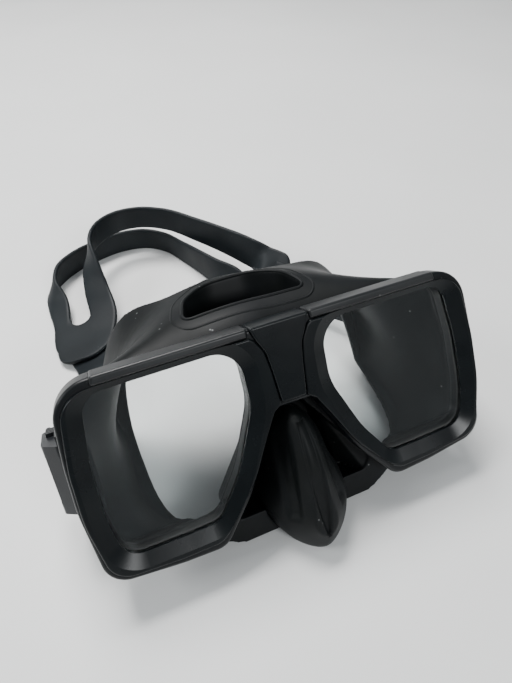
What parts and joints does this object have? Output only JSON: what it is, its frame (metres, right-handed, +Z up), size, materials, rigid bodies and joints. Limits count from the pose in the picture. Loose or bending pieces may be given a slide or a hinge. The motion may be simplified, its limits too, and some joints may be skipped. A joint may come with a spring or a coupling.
{
  "type": "diving mask",
  "caption": "Two-lens diving mask with a black silicone skirt and nose pocket, swivelling strap buckles and a split rear strap, resting on a table.",
  "frame": {"origin": "centre of the whole part's footprint, on the surface that it rests on", "axes": "+Z up from the table, +Y from the lenses back along the strap, +X to the right of someone who looks at the lenses"},
  "size_m": [0.1808, 0.2338, 0.0832],
  "materials": {
    "frame_plastic": "semi-gloss moulded black",
    "ring_plastic": "polished moulded black",
    "trim_plastic": "satin moulded black",
    "silicone": "glossy black liquid silicone",
    "strap_silicone": "satin black silicone",
    "lens_glass": "clear tempered glass",
    "gasket_rubber": "matt black",
    "buckle_plastic": "fine-textured black",
    "roller_plastic": "satin dark grey",
    "pin_steel": "bright stainless"
  },
  "bodies": {
    "mask": {"front_frame": "frame_plastic", "bridge_cover": "ring_plastic", "skirt": "silicone", "nose_pocket": "silicone", "lens_ring_left": "ring_plastic", "lens_ring_right": "ring_plastic", "lens_left": "lens_glass", "lens_right": "lens_glass", "lens_gasket_left": "gasket_rubber", "lens_gasket_right": "gasket_rubber", "brow_trim_left": "trim_plastic", "brow_trim_right": "trim_plastic", "buckle_bracket_left": "buckle_plastic", "buckle_bracket_right": "buckle_plastic", "swivel_pin_left": "pin_steel", "swivel_pin_right": "pin_steel", "strap_tail_left": "strap_silicone", "strap_tail_right": "strap_silicone", "strap_pad_left": "strap_silicone", "strap_pad_right": "strap_silicone", "strap_band_lower": "strap_silicone", "strap_band_upper": "strap_silicone"},
    "buckle_left": {"buckle_body_left": "buckle_plastic", "roller_pin_left": "pin_steel", "strap_end_left": "strap_silicone"},
    "roller_left": {"strap_roller_left": "roller_plastic"},
    "tab_upper_left": {"release_tab_upper_left": "buckle_plastic"},
    "tab_lower_left": {"release_tab_lower_left": "buckle_plastic"},
    "buckle_right": {"buckle_body_right": "buckle_plastic", "roller_pin_right": "pin_steel", "strap_end_right": "strap_silicone"},
    "roller_right": {"strap_roller_right": "roller_plastic"},
    "tab_upper_right": {"release_tab_upper_right": "buckle_plastic"},
    "tab_lower_right": {"release_tab_lower_right": "buckle_plastic"}
  },
  "joints": [
    {"name": "buckle_swivel_left", "type": "hinge", "parent": "mask", "child": "buckle_left", "pos_m": [-0.081, -0.06908, 0.04052], "axis": [0, 0.5323, 0.8466], "range_deg": [-12, 30]},
    {"name": "roller_spin_left", "type": "hinge", "parent": "buckle_left", "child": "roller_left", "pos_m": [-0.0852, -0.06316, 0.0368], "axis": [0, 0.5323, 0.8466], "continuous": true},
    {"name": "tab_upper_press_left", "type": "slide", "parent": "buckle_left", "child": "tab_upper_left", "axis": [0, -0.5323, -0.8466], "range_m": [0, 0.0015], "stiffness_N_per_m": 1500},
    {"name": "tab_lower_press_left", "type": "slide", "parent": "buckle_left", "child": "tab_lower_left", "axis": [0, 0.5323, 0.8466], "range_m": [0, 0.0015], "stiffness_N_per_m": 1500},
    {"name": "buckle_swivel_right", "type": "hinge", "parent": "mask", "child": "buckle_right", "pos_m": [0.081, -0.06908, 0.04052], "axis": [0, -0.5323, -0.8466], "range_deg": [-12, 30]},
    {"name": "roller_spin_right", "type": "hinge", "parent": "buckle_right", "child": "roller_right", "pos_m": [0.0852, -0.06316, 0.0368], "axis": [0, 0.5323, 0.8466], "continuous": true},
    {"name": "tab_upper_press_right", "type": "slide", "parent": "buckle_right", "child": "tab_upper_right", "axis": [0, -0.5323, -0.8466], "range_m": [0, 0.0015], "stiffness_N_per_m": 1500},
    {"name": "tab_lower_press_right", "type": "slide", "parent": "buckle_right", "child": "tab_lower_right", "axis": [0, 0.5323, 0.8466], "range_m": [0, 0.0015], "stiffness_N_per_m": 1500}
  ]
}
